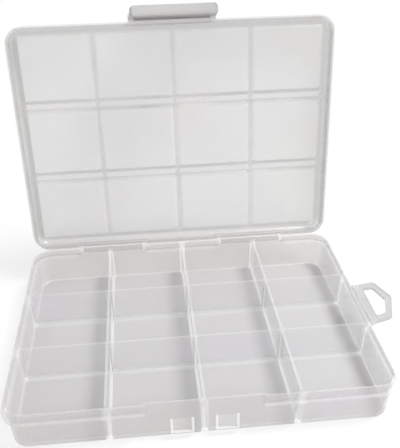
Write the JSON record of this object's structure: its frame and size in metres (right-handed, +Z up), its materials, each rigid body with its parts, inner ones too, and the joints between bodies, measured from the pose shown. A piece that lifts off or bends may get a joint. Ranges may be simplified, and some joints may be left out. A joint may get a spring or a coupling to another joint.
{
  "type": "bead storage box",
  "caption": "Clear flat storage box for beads, with a grid of compartments between slot-in dividers, a hinged lid with a snap latch and a fold-out hang tab.",
  "frame": {"origin": "centre of the tray's underside, on the surface the box rests on", "axes": "+Z up, +X to the right along the long side, towards the hang tab, +Y to the hinge side; the latch faces -Y"},
  "size_m": [0.2095, 0.1747, 0.1688],
  "materials": {
    "tray_plastic": "satin, translucent",
    "divider_plastic": "satin, translucent",
    "lid_plastic": "satin, translucent",
    "latch_plastic": "satin, translucent",
    "tab_plastic": "satin, translucent"
  },
  "bodies": {
    "tray": {"tray": "tray_plastic", "long_divider_1": "divider_plastic", "long_divider_2": "divider_plastic", "long_divider_3": "divider_plastic", "cross_divider_1": "divider_plastic", "cross_divider_2": "divider_plastic", "cross_divider_3": "divider_plastic", "cross_divider_4": "divider_plastic", "cross_divider_5": "divider_plastic", "cross_divider_6": "divider_plastic", "cross_divider_7": "divider_plastic", "cross_divider_8": "divider_plastic"},
    "lid": {"lid": "lid_plastic"},
    "latch": {"latch": "latch_plastic"},
    "hang_tab": {"hang_tab": "tab_plastic"}
  },
  "joints": [
    {"name": "lid_hinge", "type": "hinge", "parent": "tray", "child": "lid", "pos_m": [0, 0.0678, 0.0236], "axis": [1, 0, 0], "range_deg": [0, 102]},
    {"name": "latch_hinge", "type": "hinge", "parent": "lid", "child": "latch", "pos_m": [0, 0.09971, 0.15759], "axis": [1, 0, 0], "range_deg": [-165, 7.6]},
    {"name": "hang_tab_hinge", "type": "hinge", "parent": "tray", "child": "hang_tab", "pos_m": [0.0966, -0.0057, 0.0228], "axis": [0, 1, 0], "range_deg": [0, 103]}
  ]
}
